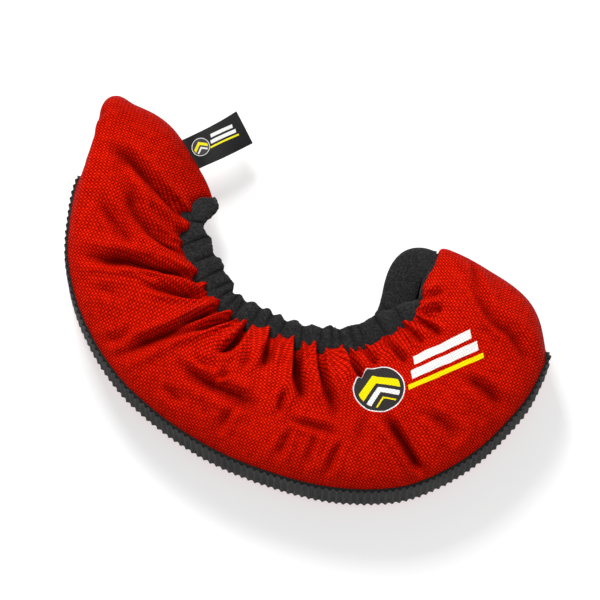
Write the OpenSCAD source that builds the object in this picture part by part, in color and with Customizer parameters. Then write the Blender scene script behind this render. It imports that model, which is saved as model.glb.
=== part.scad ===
// Fabric skate blade guard with a ribbed walking strip, lying on its side.
// +X runs along the long side from heel to toe, +Y from the sole towards the
// open rim, +Z up out of the upper side panel. Millimetres.

/* [Walking strip] */
// Width of the walking strip, edge to edge
strip_w = 28; // [24:1:30]
// Height of the strip's lower edge above the surface the guard lies on
strip_lift = 6; // [5:0.5:8]
// Thickness of the strip under its ribs
strip_t = 2.0; // [1.6:0.2:2.6]
// Height of one cross rib
rib_h = 1.2; // [0.6:0.2:1.6]
// Distance from one cross rib to the next
rib_pitch = 2.9; // [2.5:0.1:4]

/* [Sole layers] */
// Thickness of the stiffening insert behind the strip
insert_t = 1.6; // [1:0.2:2.4]
// Thickness of the lining pad on the sole
sole_pad_t = 2.0; // [1:0.2:3]
// Distance that both sole layers stop short of the strip's edges
sole_inset = 1.0; // [0.6:0.2:3]

/* [Side panels] */
// Thickness of the outer fabric
outer_t = 1.0; // [0.6:0.1:1.2]
// Thickness of the lining fabric
lining_t = 1.8; // [1:0.1:2.4]
// Height of the fullest part of the upper panel
belly_z = 42; // [38:1:46]
// Height of the upper panel's rim edge
rim_z = 26; // [25:0.5:30]
// Height of the lower panel's rim edge
low_rim_z = 9; // [6:0.5:11]

/* [Rim] */
// Width of the rim binding, from the panel edge into the mouth
band_w = 8.4; // [6:0.2:10]
// Thickness of the rim binding over its elastic
band_t = 4.2; // [3.6:0.2:5]
// Width of the rim elastic
elastic_w = 5.6; // [4:0.2:6]
// Thickness of the rim elastic
elastic_t = 1.2; // [0.8:0.1:1.4]

/* [Label tag] */
// Length of the tag out of the heel seam
tag_l = 23; // [15:1:30]
// Width of the tag along the seam
tag_w = 14.4; // [10:0.2:16]
// Thickness of the folded tag
tag_t = 1.1; // [0.8:0.1:1.4]

/* [Sections] */
// Place of the heel fold along the sole, as a share of its length
fold_heel = 0.285; // [0.26:0.005:0.31]
// Place of the toe fold along the sole, as a share of its length
fold_toe = 0.69; // [0.67:0.005:0.71]
// Width of the strip's rounded tongue at either end
tongue_w = 10; // [8:1:14]
// Gap between two sections at the sole
cut_gap = 1.0; // [0.8:0.1:1.4]
// Clearance between two layers
layer_gap = 0.3; // [0.2:0.05:0.4]

/* [Hidden] */

red = "orangered";
black = [0.13, 0.13, 0.14];
terry = [0.2, 0.2, 0.21];

// Crest line of the ribbed sole, heel to toe
sole_pts = [[-96,52],[-98,44],[-100,32],[-101,20],[-100,9],[-97,-4],[-92,-16],
  [-84,-30],[-73,-43],[-58,-56],[-38,-69],[-12,-79],[14,-84.5],[30,-85],
  [44,-83],[59,-76],[72,-67],[84,-56],[93,-45],[99,-33],[101,-24]];
// Edge of the upper panel at the mouth, heel to toe
rim_pts = [[-41,44],[-47,40],[-51,34],[-52.5,26],[-50,15],[-44,4],[-35,-5],
  [-24,-12],[-10,-17],[5,-22],[18,-23.5],[30,-19],[40,-13],[47,-5],[49,3],
  [52,11],[55,19]];
// Edge of the lower panel at the mouth, heel to toe
low_rim_pts = [[-41,44],[-46,40],[-50,33],[-51,26],[-48,15],[-42,5],[-33,-4],
  [-22,-11],[-9,-15.5],[5,-20],[18,-20.5],[28,-16],[35,-9],[39,0],[41,9],
  [45,15],[50,18],[55,19]];
// Heel end seam, from the strip to the mouth
heel_pts = [[-96,52],[-92,63],[-89,74],[-87,84],[-81,88],[-73,85],[-63,80],
  [-56,72.5],[-50,63],[-45,54],[-41,44]];
// Toe end seam, from the strip to the mouth
toe_pts = [[101,-24],[99,-12],[94,-2],[85,6.5],[74,13.5],[64,19],[58,21],[55,19]];
// Height of the upper panel from the strip to the rim
high_prof = [[0,strip_lift+strip_w+0.3],[0.03,belly_z-5.6],[0.08,belly_z-2.6],
  [0.18,belly_z-0.6],[0.3,belly_z],[0.45,belly_z-0.8],[0.6,belly_z-3.4],
  [0.75,belly_z-7.4],[0.88,rim_z+4],[1,rim_z]];
// Height of the lower panel from the strip to the rim
low_prof = [[0,strip_lift-0.3],[0.03,3.4],[0.08,1.2],[0.18,0],
  [0.75,0],[0.88,3],[1,low_rim_z]];
mid_z = strip_lift + strip_w/2;
end_share = 0.1;

// ---- curves by length
function crp(a,b,c,d,t) = 0.5*((2*b) + (c-a)*t + (2*a-5*b+4*c-d)*t*t
  + (3*b-a-3*c+d)*t*t*t);
function dense(p,n=8) = concat(
  [for (i=[0:len(p)-2]) for (k=[0:n-1])
     crp(p[max(i-1,0)], p[i], p[i+1], p[min(i+2,len(p)-1)], k/n)],
  [p[len(p)-1]]);
function cum(p) = [for (i=0, s=0; i<len(p);
  s = s + (i+1<len(p) ? norm(p[i+1]-p[i]) : 0), i=i+1) s];
function col(p,k) = let (c=cum(p), l=c[len(c)-1])
  [for (i=[0:len(p)-1]) [c[i]/l, p[i][k]]];
sole_d = dense(sole_pts); sole_c = cum(sole_d); sole_len = sole_c[len(sole_c)-1];
sx = col(sole_d,0); sy = col(sole_d,1);
rim_d = dense(rim_pts); rx = col(rim_d,0); ry = col(rim_d,1);
low_d = dense(low_rim_pts); lx = col(low_d,0); ly = col(low_d,1);
heel_d = dense(heel_pts); hx = col(heel_d,0); hy = col(heel_d,1);
toe_d = dense(toe_pts); tx = col(toe_d,0); ty = col(toe_d,1);
function sole(u) = [lookup(u,sx), lookup(u,sy)];
function rim(u) = [lookup(u,rx), lookup(u,ry)];
function low_rim(u) = [lookup(u,lx), lookup(u,ly)];
function heel_end(v) = [lookup(v,hx), lookup(v,hy)];
function toe_end(v) = [lookup(v,tx), lookup(v,ty)];
function unit(p) = p/norm(p);
// Unit normal to the left of a plane curve
function left(f,u,e=0.012) = let (t=unit(f(min(u+e,1))-f(max(u-e,0)))) [-t[1],t[0]];

// ---- side panels
function plan(r,u,v) = (1-v)*(sole(u) + 0.8*left(function(w) sole(w),u)) + v*r(u)
  + pow(1-u,5)*(heel_end(v) - (1-v)*heel_end(0) - v*heel_end(1))
  + pow(u,5)*(toe_end(v) - (1-v)*toe_end(0) - v*toe_end(1));
function end_w(u) = let (e=min(u,1-u)/end_share) e>=1 ? 1 : sqrt(1-(1-e)*(1-e));
function seam_rise(v) = v<0.07 ? pow(1-v/0.07,2) : 0;
function high_seam(v) = mid_z+0.2 + (tongue_w/2+0.1)*seam_rise(v);
function low_seam(v) = mid_z-0.2 - (tongue_w/2+0.1)*seam_rise(v);
// Half width of the strip, which narrows to a rounded tongue at each end
function half_w(u) = tongue_w/2 + (strip_w-tongue_w)/2*end_w(u);
function high_p(u,v) = let (q=plan(function(w) rim(w),u,v), s=high_seam(v))
  [q[0], q[1], s+(lookup(v,high_prof)-s)*end_w(u)];
function low_p(u,v) = let (q=plan(function(w) low_rim(w),u,v), s=low_seam(v))
  [q[0], q[1], s+(lookup(v,low_prof)-s)*end_w(u)];
// Inward normals of the two panels
function high_n(u,v) = unit(-cross(
  high_p(min(u+0.006,1),v)-high_p(max(u-0.006,0),v),
  high_p(u,min(v+0.02,1))-high_p(u,max(v-0.02,0))));
function low_n(u,v) = unit(cross(
  low_p(min(u+0.006,1),v)-low_p(max(u-0.006,0),v),
  low_p(u,min(v+0.02,1))-low_p(u,max(v-0.02,0))));
// Beside the strip both faces of a panel stay clear of the strip's edge
function side_room(u,v) = v<0.05 ? half_w(u)+layer_gap+0.1+1.7*(1-end_w(u)) : 0;
function high_o(u,v,d) = let (p=high_p(u,v)+d*high_n(u,v))
  [p[0],p[1],max(p[2],high_seam(v),mid_z+side_room(u,v))];
function low_o(u,v,d) = let (p=low_p(u,v)+d*low_n(u,v))
  [p[0],p[1],min(p[2],low_seam(v),mid_z-side_room(u,v))];

half_cut = cut_gap/2/sole_len;
// Stations along the sole of each section, closer together at the ends
n_u = 11;
u_heel = [for (i=[0:n_u]) (fold_heel-half_cut)*pow(i/n_u,1.6)];
u_mid = [for (i=[0:n_u]) fold_heel+half_cut
  + (fold_toe-fold_heel-2*half_cut)*i/n_u];
u_toe = [for (i=[n_u:-1:0]) 1-(1-fold_toe-half_cut)*pow(i/n_u,1.6)];
v_rows = [0,0.03,0.08,0.18,0.3,0.45,0.6,0.75,0.88,1];
// The linings start past the strip's inner face
v_lining = [0.065,0.1,0.18,0.3,0.45,0.6,0.75,0.88,1];

// Closed sheet between two grids of points
module sheet(a,b,flip=false) {
  n=len(a); m=len(a[0]); k=n*m;
  function at(i,j) = i*m+j;
  pts = concat([for (r=a) for (p=r) p], [for (r=b) for (p=r) p]);
  fs = concat(
    [for (i=[0:n-2]) for (j=[0:m-2]) [at(i,j),at(i+1,j),at(i+1,j+1)]],
    [for (i=[0:n-2]) for (j=[0:m-2]) [at(i,j),at(i+1,j+1),at(i,j+1)]],
    [for (i=[0:n-2]) for (j=[0:m-2]) [k+at(i,j),k+at(i+1,j+1),k+at(i+1,j)]],
    [for (i=[0:n-2]) for (j=[0:m-2]) [k+at(i,j),k+at(i,j+1),k+at(i+1,j+1)]],
    [for (i=[0:n-2]) each [[at(i+1,0),at(i,0),k+at(i,0)],[at(i+1,0),k+at(i,0),k+at(i+1,0)]]],
    [for (i=[0:n-2]) each [[at(i,m-1),at(i+1,m-1),k+at(i+1,m-1)],[at(i,m-1),k+at(i+1,m-1),k+at(i,m-1)]]],
    [for (j=[0:m-2]) each [[at(n-1,j+1),at(n-1,j),k+at(n-1,j)],[at(n-1,j+1),k+at(n-1,j),k+at(n-1,j+1)]]],
    [for (j=[0:m-2]) each [[at(0,j),at(0,j+1),k+at(0,j+1)],[at(0,j),k+at(0,j+1),k+at(0,j)]]]);
  polyhedron(points=pts, faces=[for (f=fs) flip ? [f[2],f[1],f[0]] : f], convexity=8);
}
// One layer of the upper panel between two depths under its outer face
module high_layer(us,d0,d1,vs=v_rows) sheet(
  [for (u=us) [for (v=vs) high_o(u,v,d0)]],
  [for (u=us) [for (v=vs) high_o(u,v,d1)]], true);
module low_layer(us,d0,d1,vs=v_rows) sheet(
  [for (u=us) [for (v=vs) low_o(u,v,d0)]],
  [for (u=us) [for (v=vs) low_o(u,v,d1)]], false);

// ---- sole band between two depths under the rib crests, plain
module sole_band(ua,ub,d0,d1,z0,z1,n=22)
  translate([0,0,z0]) linear_extrude(z1-z0) polygon(concat(
    [for (i=[0:n]) let (u=ua+(ub-ua)*i/n) sole(u)+d0*left(function(w) sole(w),u)],
    [for (i=[n:-1:0]) let (u=ua+(ub-ua)*i/n) sole(u)+d1*left(function(w) sole(w),u)]));
// Ribbed strip: each rib is a low trapezium across the strip
module ribbed_band(ua,ub) {
  n = max(1,round((ub-ua)*sole_len/rib_pitch));
  prof = [[0,rib_h],[0.16,0.15],[0.3,0],[0.54,0],[0.68,0.15],[0.84,rib_h]];
  translate([0,0,strip_lift]) linear_extrude(strip_w) polygon(concat(
    [for (i=[0:n-1]) for (q=prof) let (u=ua+(ub-ua)*(i+q[0])/n)
       sole(u)+q[1]*left(function(w) sole(w),u)],
    [sole(ub)+rib_h*left(function(w) sole(w),ub)],
    [for (i=[22:-1:0]) let (u=ua+(ub-ua)*i/22)
       sole(u)+(rib_h+strip_t)*left(function(w) sole(w),u)]));
}

// ---- rim: a sewn tunnel with a flat elastic inside
function rim_c(r,u,z0,z1,d) = let (q=r(u)+d*left(r,u,0.03)) [q[0],q[1],z0+(z1-z0)*end_w(u)];
function ring(r,u,z0,z1,d,w,t,m) = let (c=rim_c(r,u,z0,z1,d), n=left(r,u,0.03))
  [for (k=[0:m-1]) let (a=360*k/m, x=w/2*sign(cos(a))*pow(abs(cos(a)),0.7),
     z=t/2*sign(sin(a))*pow(abs(sin(a)),0.7)) [c[0]+x*n[0], c[1]+x*n[1], c[2]+z]];
module tunnel(r,us,z0,z1,flip=false) {
  m=12; n=len(us); k=n*m;
  d = layer_gap + band_w/2;
  pts = concat(
    [for (u=us) each ring(r,u,z0,z1,d,band_w,band_t,m)],
    [for (u=us) each ring(r,u,z0,z1,d,elastic_w+0.8,elastic_t+0.9,m)]);
  function at(i,j) = i*m+(j%m);
  fs = concat(
    [for (i=[0:n-2]) for (j=[0:m-1]) each [[at(i,j),at(i+1,j),at(i+1,j+1)],[at(i,j),at(i+1,j+1),at(i,j+1)]]],
    [for (i=[0:n-2]) for (j=[0:m-1]) each [[k+at(i,j),k+at(i+1,j+1),k+at(i+1,j)],[k+at(i,j),k+at(i,j+1),k+at(i+1,j+1)]]],
    [for (j=[0:m-1]) each [[at(0,j),at(0,j+1),k+at(0,j+1)],[at(0,j),k+at(0,j+1),k+at(0,j)]]],
    [for (j=[0:m-1]) each [[at(n-1,j+1),at(n-1,j),k+at(n-1,j)],[at(n-1,j+1),k+at(n-1,j),k+at(n-1,j+1)]]]);
  polyhedron(points=pts, faces=[for (f=fs) flip ? [f[2],f[1],f[0]] : f], convexity=8);
}
function flat_ring(r,u,z0,z1,d,w,t) = let (c=rim_c(r,u,z0,z1,d), n=left(r,u,0.03))
  [for (k=[[-1,-1],[1,-1],[1,1],[-1,1]])
     [c[0]+k[0]*w/2*n[0], c[1]+k[0]*w/2*n[1], c[2]+k[1]*t/2]];
module ribbon(r,us,z0,z1,w=elastic_w-0.8) {
  d = layer_gap + band_w/2; n=len(us);
  pts = [for (u=us) each flat_ring(r,u,z0,z1,d,w,elastic_t)];
  function at(i,j) = i*4+(j%4);
  fs = concat(
    [for (i=[0:n-2]) for (j=[0:3]) each [[at(i,j),at(i+1,j),at(i+1,j+1)],[at(i,j),at(i+1,j+1),at(i,j+1)]]],
    [[at(0,0),at(0,1),at(0,2)],[at(0,0),at(0,2),at(0,3)]],
    [[at(n-1,2),at(n-1,1),at(n-1,0)],[at(n-1,3),at(n-1,2),at(n-1,0)]]);
  polyhedron(points=pts, faces=fs, convexity=8);
}
// Rim stations keep clear of the end seams
rim_end = 0.012;
r_heel = [for (i=[0:11]) rim_end+(fold_heel-half_cut*1.2-rim_end)*i/11];
r_mid = [for (i=[0:11]) fold_heel+half_cut*1.2+(fold_toe-fold_heel-2.4*half_cut)*i/11];
r_toe = [for (i=[0:11]) fold_toe+half_cut*1.2+(1-rim_end-fold_toe-half_cut*1.2)*i/11];
near_a = mid_z+band_t/2+0.4; near_b = rim_z-1.4;
far_a = mid_z-band_t/2-0.4; far_b = low_rim_z+1.2;

// ---- end seam tape
module seam_tape(f,side,va,vb,h=4.6) translate([0,0,mid_z-h/2]) linear_extrude(h)
  polygon(concat(
    [for (i=[0:30]) let (v=va+(vb-va)*i/30) f(v)+side*5.2*left(f,v)],
    [for (i=[30:-1:0]) let (v=va+(vb-va)*i/30) f(v)+side*6.0*left(f,v)]));

// ---- parts
ins0 = rib_h+strip_t+layer_gap; ins1 = ins0+insert_t;
pad0 = ins1+layer_gap; pad1 = pad0+sole_pad_t;
sz0 = strip_lift+sole_inset; sz1 = strip_lift+strip_w-sole_inset;
lin0 = outer_t+layer_gap; lin1 = lin0+lining_t;
ua = 0.06;

// Outline of the strip seen square to its end, swept through the strip
module tongue(side) {
  e = side<0 ? [0,1] : unit(sole(1)-sole(1-end_share));
  us = [for (i=[0:10]) side<0 ? end_share*pow(i/10,2) : 1-end_share*pow(i/10,2)];
  function s(u) = sole(u)*e;
  far = s(us[10])-120;
  rotate([0,0,atan2(e[1],e[0])]) rotate([90,0,0]) translate([0,0,-200])
    linear_extrude(400) polygon(concat(
      [for (u=us) [s(u), mid_z+half_w(u)]], [[far,mid_z+strip_w/2],[far,mid_z-strip_w/2]],
      [for (i=[10:-1:0]) [s(us[i]), mid_z-half_w(us[i])]]));
}
module walking_strip_heel() color(black) intersection() {
  ribbed_band(0,fold_heel-half_cut); tongue(-1); }
module walking_strip_mid() color(black) ribbed_band(fold_heel+half_cut,fold_toe-half_cut);
module walking_strip_toe() color(black) intersection() {
  ribbed_band(fold_toe+half_cut,1); tongue(1); }
module sole_insert(a,b) color("dimgray") sole_band(a,b,ins0,ins1,sz0,sz1);
module sole_lining(a,b) color(terry) sole_band(a,b,pad0,pad1,sz0,sz1);
module outer_near(us) color(red) high_layer(us,0,outer_t);
module outer_far(us) color(red) low_layer(us,0,outer_t);
module lining_near(us) color(terry) high_layer(us,lin0,lin1,v_lining);
module lining_far(us) color(terry) low_layer(us,lin0,lin1,v_lining);
module rim_binding_near(us) color(terry) tunnel(function(w) rim(w),us,near_a,near_b);
module rim_binding_far(us) color(terry) tunnel(function(w) low_rim(w),us,far_a,far_b);
module rim_elastic_near(us) color("white") ribbon(function(w) rim(w),us,near_a,near_b);
module rim_elastic_far(us) color("white") ribbon(function(w) low_rim(w),us,far_a,far_b);
module heel_seam_tape() color(black) seam_tape(function(w) heel_end(w),-1,0.46,0.84);
module toe_seam_tape() color(black) seam_tape(function(w) toe_end(w),1,0.06,0.8);
// The folded label leaves the heel seam square to it
module label_tag() color([0.16,0.16,0.17])
  translate([-48,63.6,mid_z-tag_t/2]) rotate(27.5) linear_extrude(tag_t)
    polygon([[0,-tag_w/2],[tag_l-1,-tag_w/2+0.4],[tag_l,-tag_w/2+1.4],
      [tag_l+0.6,0],[tag_l,tag_w/2-1.2],[tag_l-1,tag_w/2-0.2],[0,tag_w/2]]);

walking_strip_heel();
walking_strip_mid();
walking_strip_toe();
sole_insert(ua,fold_heel-half_cut);  // sole_insert_heel
sole_insert(fold_heel+half_cut,fold_toe-half_cut);  // sole_insert_mid
sole_insert(fold_toe+half_cut,1-ua);  // sole_insert_toe
sole_lining(ua,fold_heel-half_cut);  // sole_lining_heel
sole_lining(fold_heel+half_cut,fold_toe-half_cut);  // sole_lining_mid
sole_lining(fold_toe+half_cut,1-ua);  // sole_lining_toe
outer_near(u_heel);  // outer_near_heel
outer_near(u_mid);  // outer_near_mid
outer_near(u_toe);  // outer_near_toe
outer_far(u_heel);  // outer_far_heel
outer_far(u_mid);  // outer_far_mid
outer_far(u_toe);  // outer_far_toe
lining_near(u_heel);  // lining_near_heel
lining_near(u_mid);  // lining_near_mid
lining_near(u_toe);  // lining_near_toe
lining_far(u_heel);  // lining_far_heel
lining_far(u_mid);  // lining_far_mid
lining_far(u_toe);  // lining_far_toe
rim_binding_near(r_heel);  // rim_binding_near_heel
rim_binding_near(r_mid);  // rim_binding_near_mid
rim_binding_near(r_toe);  // rim_binding_near_toe
rim_binding_far(r_heel);  // rim_binding_far_heel
rim_binding_far(r_mid);  // rim_binding_far_mid
rim_binding_far(r_toe);  // rim_binding_far_toe
rim_elastic_near(r_heel);  // rim_elastic_near_heel
rim_elastic_near(r_mid);  // rim_elastic_near_mid
rim_elastic_near(r_toe);  // rim_elastic_near_toe
rim_elastic_far(r_heel);  // rim_elastic_far_heel
rim_elastic_far(r_mid);  // rim_elastic_far_mid
rim_elastic_far(r_toe);  // rim_elastic_far_toe
heel_seam_tape();
toe_seam_tape();
label_tag();
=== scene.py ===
import bpy, math
import numpy as np
from mathutils import Vector, Matrix


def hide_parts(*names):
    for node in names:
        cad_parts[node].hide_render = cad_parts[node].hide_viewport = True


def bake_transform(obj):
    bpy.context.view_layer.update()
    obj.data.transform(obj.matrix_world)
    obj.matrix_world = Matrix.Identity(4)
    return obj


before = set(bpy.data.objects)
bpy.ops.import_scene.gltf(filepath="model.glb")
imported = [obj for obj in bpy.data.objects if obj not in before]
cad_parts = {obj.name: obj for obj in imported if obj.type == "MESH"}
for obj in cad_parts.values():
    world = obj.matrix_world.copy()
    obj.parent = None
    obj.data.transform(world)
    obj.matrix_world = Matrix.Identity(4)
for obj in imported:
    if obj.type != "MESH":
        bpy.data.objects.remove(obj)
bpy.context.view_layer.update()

MM = 0.001
MIDZ = 20.0
STRIP_Z0, STRIP_Z1 = 6.0, 34.0

# ------------------------------------------------------------------ curves
# Control points in millimetres, row frame.
SOLE = [(-96, 52), (-98, 44.5), (-99.6, 34), (-100.8, 21.5), (-100.3, 11), (-97.6, -2), (-93, -14),
        (-86, -27), (-77.5, -38.5), (-70, -46), (-57.4, -56.5), (-41.5, -66.5), (-28, -73), (-11.2, -79),
        (4, -83), (18.2, -84.8), (31.6, -84.8), (43, -83), (52, -79.6), (60, -75.5), (68, -70.5),
        (75.5, -64.5), (82.5, -57.4), (88.7, -50.5), (93.8, -43.5), (98, -35), (100.2, -30), (100.9, -24)]
RIM = [(-39.5, 43), (-42, 42.6), (-44.6, 41.4), (-48, 39), (-50, 36.4), (-51.4, 34.4), (-50.2, 32), (-50.5, 29.2),
       (-52.4, 26.8), (-52.9, 24), (-52.4, 21), (-50, 19), (-49.5, 16.3), (-49.9, 13.8), (-47.5, 12), (-46.7, 10.6),
       (-47, 8.8), (-46.2, 7.6), (-43.7, 6.6), (-42.8, 4.2), (-42, 1.4), (-40.2, -0.4), (-36.4, -3.2), (-35.2, -5.6),
       (-31.4, -8.4), (-29.6, -10.8), (-25.2, -11.4), (-23.8, -14), (-17.2, -12.9), (-14, -15), (-12.7, -17.2),
       (-8.7, -17), (-4.6, -18.6), (-3.2, -21), (1.4, -20), (5, -20.8), (7, -23.5), (11.4, -22.2), (14.6, -22.2),
       (16.8, -24), (20.6, -23), (23.4, -21.8), (27.4, -20.1), (30.8, -18.4), (35, -17.4), (37.2, -15.6), (40, -13.6),
       (42, -11), (45.4, -9.8), (46.2, -8), (47.6, -4.2), (48.7, 0), (48.4, 3.2), (49.7, 7), (51.8, 10.5),
       (53.4, 13.5), (54.4, 16), (55, 19)]
LOWRIM = [(-41, 43.5), (-46, 40), (-50, 33), (-51, 26), (-48.5, 15), (-42, 5), (-33, -4), (-22, -11),
          (-9, -15.5), (5, -20), (18, -20.5), (28, -16), (35, -9), (38.6, 0), (40.6, 8), (44.5, 14.5),
          (50, 17.6), (55, 19)]
HEEL = [(-96, 52), (-93.2, 58), (-91.6, 64), (-89.4, 71), (-88, 77.5), (-87.1, 83), (-84.6, 87), (-80.8, 88),
        (-77.6, 87), (-73.6, 84.2), (-68, 81.8), (-62, 78.4), (-57, 74), (-53, 68.8), (-49.4, 62.5),
        (-45.4, 56), (-42, 49.5), (-40, 43.5)]
TOE = [(100.9, -24), (100.2, -19), (98.6, -11), (95.5, -4), (91, 1.5), (84.9, 6.5), (78.2, 10.8), (71.9, 14.9),
       (66.5, 18), (61.5, 20.4), (58, 21.6), (56.2, 21.2), (55, 19)]
# Mouth edge of the upper rim band with its scallops, and of the lower one
BAND = [(-38.6, 43.6), (-37, 39.8), (-38, 36.4), (-39.6, 35), (-43, 31.6), (-42.8, 28.6), (-41.4, 27), (-39.8, 25),
        (-39.4, 20.6), (-38.2, 17.8), (-36, 16.5), (-34.8, 13.6), (-34.9, 11.3), (-32.4, 9), (-30.4, 5.4), (-31, 2.6),
        (-29.7, 1.2), (-27.6, 1.2), (-25.8, -1.8), (-21.8, -2), (-18.8, -4.8), (-15.6, -5), (-13.8, -7.7), (-11.2, -7.2),
        (-8.4, -10.2), (-4.2, -9.9), (-0.8, -12.5), (2.8, -11.7), (6.4, -13.4), (10, -12.1), (14, -13.9), (17.4, -12.1),
        (21, -11.7), (25, -9.8), (28.8, -7.6), (33, -6), (37, -4.4), (41.4, -2.4), (45.6, -1.2), (47.2, 1), (47.6, 4),
        (49.2, 7.8), (51.3, 11.3), (53, 14.6), (54.4, 18.4)]
NOTCH = [(-38, 43.8), (-43, 31.4), (-38.3, 17.7), (-35, 11.2), (-31, 2.6), (-25.8, -1.8), (-18.8, -4.8), (-13.8, -7.7),
         (-8.4, -10.2), (-0.8, -12.5), (6.4, -13.4), (14, -13.9), (21.6, -11.6), (29, -7.6), (37.4, -4.4), (46.6, 0.2),
         (54.4, 18.4)]
FARBAND = [(-43.5, 42), (-44.4, 38), (-46.2, 33), (-46.4, 27), (-44.4, 19), (-41, 11.5), (-35.4, 4), (-29, -1), (-20, -6),
           (-9, -10), (4, -13.5), (14, -13), (21, -10.4), (26.5, -7.2), (29.6, -3), (31.4, 2.4), (32.6, 8.6), (34.6, 15),
           (37.6, 20), (41.6, 23.3), (46.4, 24.4), (51, 23.7), (54.6, 21.6)]
LOWBAND_OFF = 8.6


def crom(p, n=12):
    p = np.array(p, float)
    out = []
    for i in range(len(p) - 1):
        a, b, c, d = p[max(i - 1, 0)], p[i], p[i + 1], p[min(i + 2, len(p) - 1)]
        t = np.arange(n)[:, None] / n
        out.append(0.5 * (2 * b + (c - a) * t + (2 * a - 5 * b + 4 * c - d) * t * t + (3 * b - a - 3 * c + d) * t ** 3))
    out.append(p[-1:])
    return np.vstack(out)


class Curve:
    def __init__(self, pts, smooth=2):
        d = crom(pts)
        for _ in range(int(smooth * 12)):
            d[1:-1] = 0.25 * d[:-2] + 0.5 * d[1:-1] + 0.25 * d[2:]
        seg = np.linalg.norm(np.diff(d, axis=0), axis=1)
        c = np.concatenate([[0], np.cumsum(seg)])
        self.len = c[-1]
        self.u = c / c[-1]
        self.p = d

    def __call__(self, u):
        u = np.asarray(u, float)
        return np.stack([np.interp(u, self.u, self.p[:, k]) for k in range(2)], -1)

    def left(self, u, e=0.008):
        u = np.asarray(u, float)
        t = self(np.clip(u + e, 0, 1)) - self(np.clip(u - e, 0, 1))
        t /= np.linalg.norm(t, axis=-1, keepdims=True)
        return np.stack([-t[..., 1], t[..., 0]], -1)


sole, lowrim, heel, toe, farband = [Curve(c) for c in (SOLE, LOWRIM, HEEL, TOE, FARBAND)]
rim, band = Curve(RIM, 1), Curve(BAND, 0.5)
L = sole.len
U_MID = 0.4875


def sstep(a, b, x):
    t = np.clip((x - a) / (b - a), 0, 1)
    return t * t * (3 - 2 * t)


def vnoise(x, y, seed, octaves=3):
    """Smooth value noise, the same each run."""
    x, y = np.broadcast_arrays(np.asarray(x, float), np.asarray(y, float))
    rng = np.random.RandomState(seed)
    tab = rng.rand(64, 64)
    out = np.zeros(x.shape)
    amp, tot = 1.0, 0.0
    for o in range(octaves):
        xi, yi = np.floor(x).astype(int), np.floor(y).astype(int)
        fx, fy = x - xi, y - yi
        fx, fy = fx * fx * (3 - 2 * fx), fy * fy * (3 - 2 * fy)
        g = lambda a, b: tab[a % 64, b % 64]
        out += amp * ((g(xi, yi) * (1 - fx) + g(xi + 1, yi) * fx) * (1 - fy)
                      + (g(xi, yi + 1) * (1 - fx) + g(xi + 1, yi + 1) * fx) * fy)
        tot += amp
        amp *= 0.5
        x, y = x * 2.03 + 11.3, y * 2.03 + 5.7
    return out / tot * 2 - 1


# ------------------------------------------------------------------ side panels
def end_w(u, share=0.085, p=2.3):
    e = np.clip(np.minimum(u, 1 - u) / share, 0, 1)
    return (1 - (1 - e) ** p) ** (1 / p)


def seam_rise(v):
    return np.where(v < 0.035, (1 - np.clip(v, 0, 0.035) / 0.035) ** 2, 0)


def plan(r, u, v):
    u1, v1 = u[..., None], v[..., None]
    q = (1 - v1) * (sole(u) + 0.8 * sole.left(u)) + v1 * r(u)
    hb = heel(v) - (1 - v1) * heel(0.0) - v1 * heel(1.0)
    tb = toe(v) - (1 - v1) * toe(0.0) - v1 * toe(1.0)
    return q + (1 - u1) ** 5 * hb + u1 ** 5 * tb


HI_V = np.array([0, 0.015, 0.04, 0.08, 0.14, 0.22, 0.32, 0.45, 0.58, 0.70, 0.80, 0.88, 0.94, 0.975, 1.0])
HI_Z = np.array([34.1, 35.6, 37.2, 38.9, 40.3, 41.2, 41.6, 41.1, 39.6, 37.2, 34.2, 31.2, 28.6, 26.6, 23.6])
LO_V = np.array([0, 0.03, 0.08, 0.18, 0.3, 0.75, 0.85, 0.93, 1.0])
LO_Z = np.array([5.9, 3.2, 1.1, 0.15, 0.05, 0.05, 1.6, 5.0, 9.4])


def smooth_interp(x, xs, ys):
    """Monotone-ish smooth interpolation through given profile points."""
    m = np.gradient(ys, xs)
    i = np.clip(np.searchsorted(xs, x) - 1, 0, len(xs) - 2)
    h = xs[i + 1] - xs[i]
    t = np.clip((x - xs[i]) / h, 0, 1)
    return ((2 * t ** 3 - 3 * t ** 2 + 1) * ys[i] + (t ** 3 - 2 * t ** 2 + t) * h * m[i]
            + (-2 * t ** 3 + 3 * t ** 2) * ys[i + 1] + (t ** 3 - t ** 2) * h * m[i + 1])


def base_surface(r, prof_v, prof_z, sign, u, v):
    q = plan(r, u, v)
    s = MIDZ + sign * (0.2 + 5.0 * seam_rise(v))
    z = s + (smooth_interp(v, prof_v, prof_z) - s) * end_w(u)
    return np.concatenate([q, z[..., None]], -1)


def grid_normals(P):
    du = np.gradient(P, axis=0)
    dv = np.gradient(P, axis=1)
    n = np.cross(du, dv)
    n /= np.maximum(np.linalg.norm(n, axis=-1, keepdims=True), 1e-9)
    return n


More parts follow.
